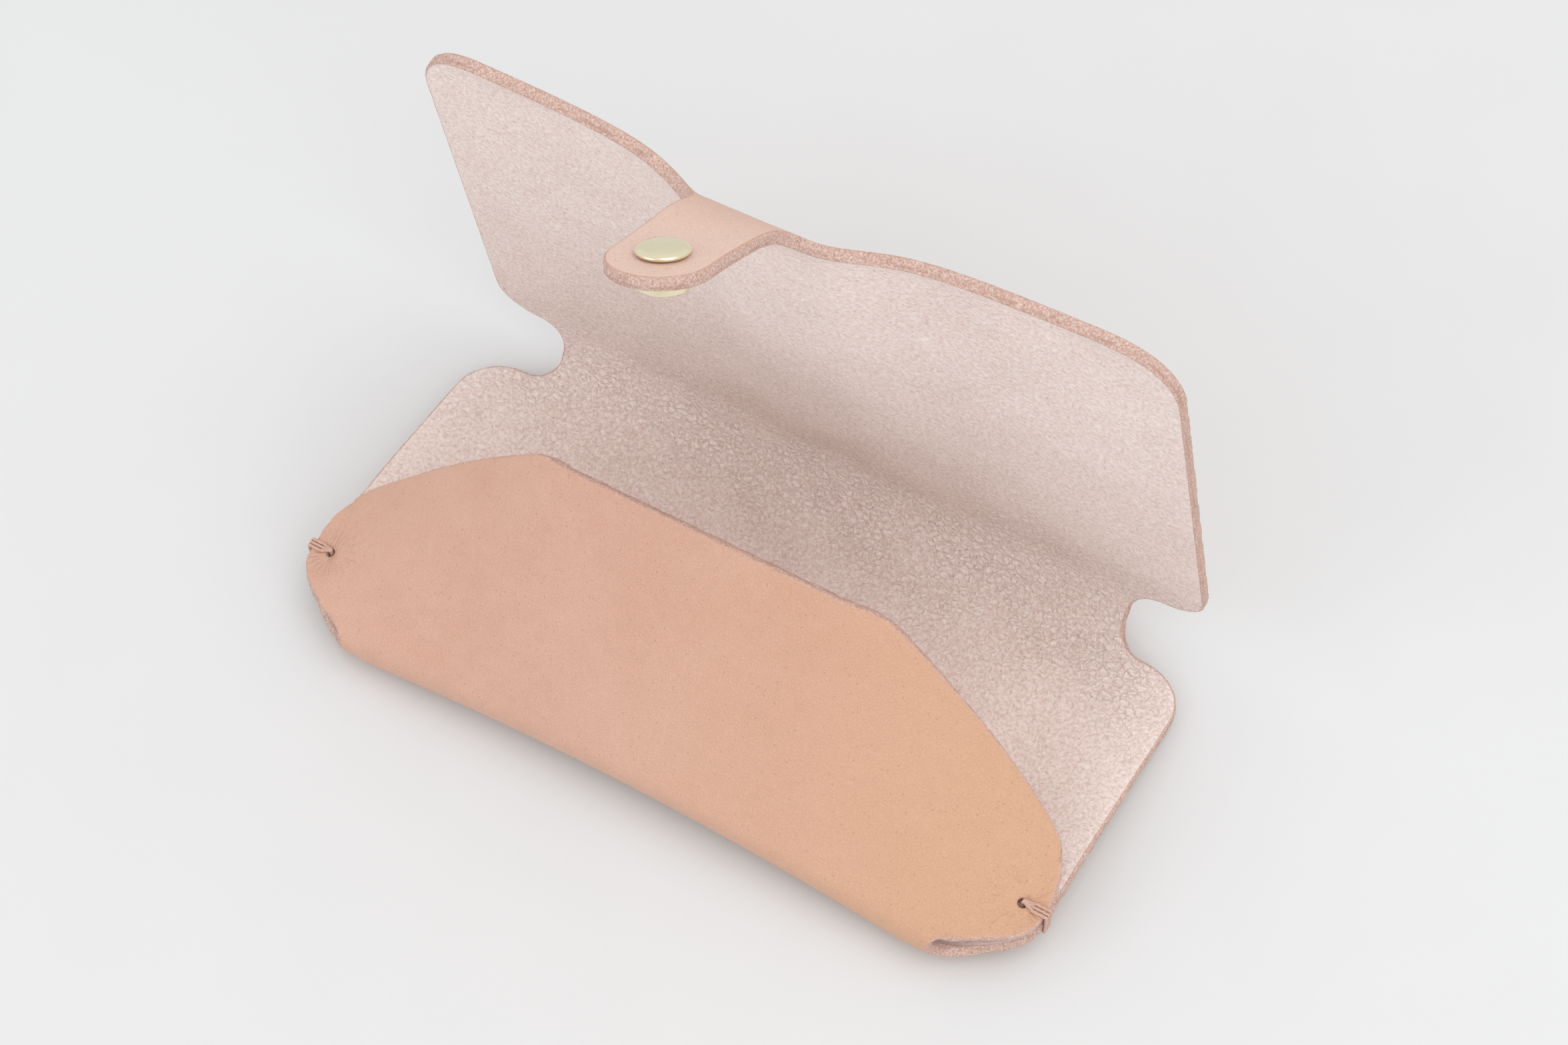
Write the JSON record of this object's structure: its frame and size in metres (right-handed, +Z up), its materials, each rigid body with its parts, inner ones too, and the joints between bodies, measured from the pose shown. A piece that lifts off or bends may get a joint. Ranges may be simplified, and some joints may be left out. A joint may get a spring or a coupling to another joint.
{
  "type": "soft pouch glasses case",
  "caption": "Soft pouch glasses case folded from thick leather, with a tacked pocket, a standing flap and a snap closing tab.",
  "frame": {"origin": "centre of the case's footprint, on the surface that it rests on", "axes": "+Z up, +X along the bottom and flap folds, +Y from the bottom fold towards the flap fold"},
  "size_m": [0.1684, 0.0864, 0.1408],
  "materials": {
    "leather": "natural vegetable-tanned, smooth grain outside, fibrous flesh inside, raw cut edges",
    "waxed_thread": "waxed, twisted",
    "pale_brass": "satin polished",
    "spring_wire": "bright drawn wire"
  },
  "bodies": {
    "pocket": {"front_panel": "leather", "bottom_fold": "leather", "back_panel": "leather", "thread_tack_left": "waxed_thread", "thread_tack_right": "waxed_thread", "snap_stud": "pale_brass", "stud_eyelet": "pale_brass"},
    "flap": {"flap": "leather"},
    "tab": {"closing_tab": "leather", "snap_cap": "pale_brass", "snap_socket": "pale_brass", "socket_spring": "spring_wire"}
  },
  "joints": [
    {"name": "flap_fold", "type": "hinge", "parent": "pocket", "child": "flap", "pos_m": [0, 0.0389, 0.0062], "axis": [1, 0, 0], "range_deg": [-96, 33]},
    {"name": "tab_fold", "type": "hinge", "parent": "flap", "child": "tab", "pos_m": [0, 0.01253, 0.11863], "axis": [1, 0, 0], "range_deg": [-50, 75]}
  ]
}
